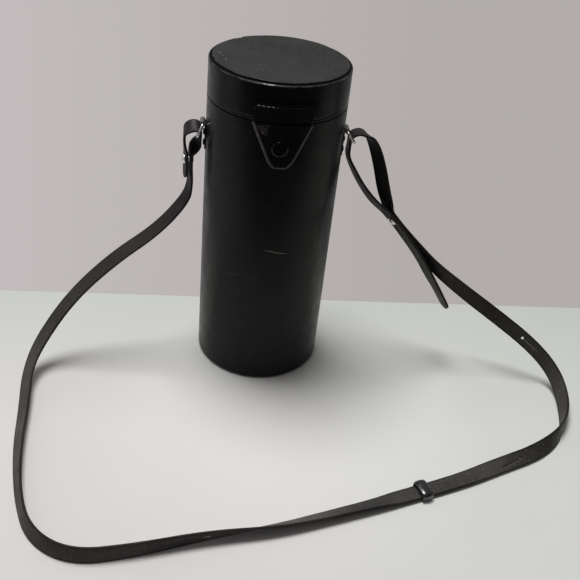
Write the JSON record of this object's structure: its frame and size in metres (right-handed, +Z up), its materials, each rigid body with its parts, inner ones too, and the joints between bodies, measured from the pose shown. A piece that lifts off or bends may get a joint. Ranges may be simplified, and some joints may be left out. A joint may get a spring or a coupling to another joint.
{
  "type": "lens case",
  "caption": "Tall round leather lens case with hinged lid, snap tab, swinging side rings and a long carrying strap.",
  "frame": {"origin": "centre of the base, in the plane it stands on", "axes": "+Z up along the case; the snap tab faces -Y, the leather hinge is at +Y, the rings are on -X and +X"},
  "size_m": [0.48, 0.3038, 0.2735],
  "materials": {
    "cover_leather": "smooth black hide with a soft sheen",
    "top_leather": "satin black hide, slightly greyed",
    "strap_leather": "worn dark hide, fine grain",
    "board": "pressed brown fibreboard",
    "lining_cloth": "short-pile dark red cloth",
    "thread": "waxed black thread",
    "bright_metal": "polished plate",
    "black_metal": "blackened steel",
    "snap_black": "glossy black enamel",
    "snap_metal": "nickel-plated brass",
    "keeper_black": "glossy black"
  },
  "bodies": {
    "root": {"body_cover": "cover_leather", "body_core": "board", "base_board": "board", "base_leather": "cover_leather", "body_lining": "lining_cloth", "bottom_pad": "lining_cloth", "collar": "board", "hinge_body_half": "cover_leather", "hinge_body_stitches": "thread", "snap_stud": "snap_metal", "snap_washer": "snap_metal", "left_lug": "cover_leather", "left_lug_rivets": "black_metal", "right_lug": "cover_leather", "right_lug_rivets": "black_metal", "left_barrel": "bright_metal", "right_barrel": "bright_metal", "strap_left": "strap_leather", "strap_left_tail": "strap_leather", "strap_right": "strap_leather", "strap_right_tail": "strap_leather", "left_strap_stud": "bright_metal", "right_strap_stud": "bright_metal"},
    "lid": {"lid_cover": "cover_leather", "lid_shell": "board", "lid_lining": "lining_cloth", "lid_pad": "lining_cloth", "lid_rim": "cover_leather", "lid_top_leather": "top_leather", "tab_patch": "cover_leather", "tab_stitches": "thread", "hinge_lid_half": "cover_leather", "hinge_lid_stitches": "thread"},
    "tab": {"tab_backing": "cover_leather", "tab_flap": "cover_leather", "snap_cap": "snap_black", "snap_socket": "snap_metal"},
    "ring_left": {"left_ring": "bright_metal", "strap_left_ring_loop": "strap_leather"},
    "ring_right": {"right_ring": "bright_metal", "strap_right_ring_loop": "strap_leather"},
    "keeper": {"keeper": "keeper_black"}
  },
  "joints": [
    {"name": "lid_hinge", "type": "hinge", "parent": "root", "child": "lid", "pos_m": [0, 0.05645, 0.2434], "axis": [-1, 0, 0], "range_deg": [0, 165]},
    {"name": "tab_flex", "type": "hinge", "parent": "lid", "child": "tab", "pos_m": [0, -0.0582, 0.2434], "axis": [-1, 0, 0], "range_deg": [0, 80]},
    {"name": "ring_left_swing", "type": "hinge", "parent": "root", "child": "ring_left", "pos_m": [-0.0576, 0, 0.2185], "axis": [0, 1, 0], "range_deg": [0, 90]},
    {"name": "ring_right_swing", "type": "hinge", "parent": "root", "child": "ring_right", "pos_m": [0.0576, 0, 0.2185], "axis": [0, -1, 0], "range_deg": [0, 90]},
    {"name": "keeper_slide", "type": "slide", "parent": "root", "child": "keeper", "axis": [0.9537, 0.3007, 0], "range_m": [-0.012, 0.012]}
  ]
}
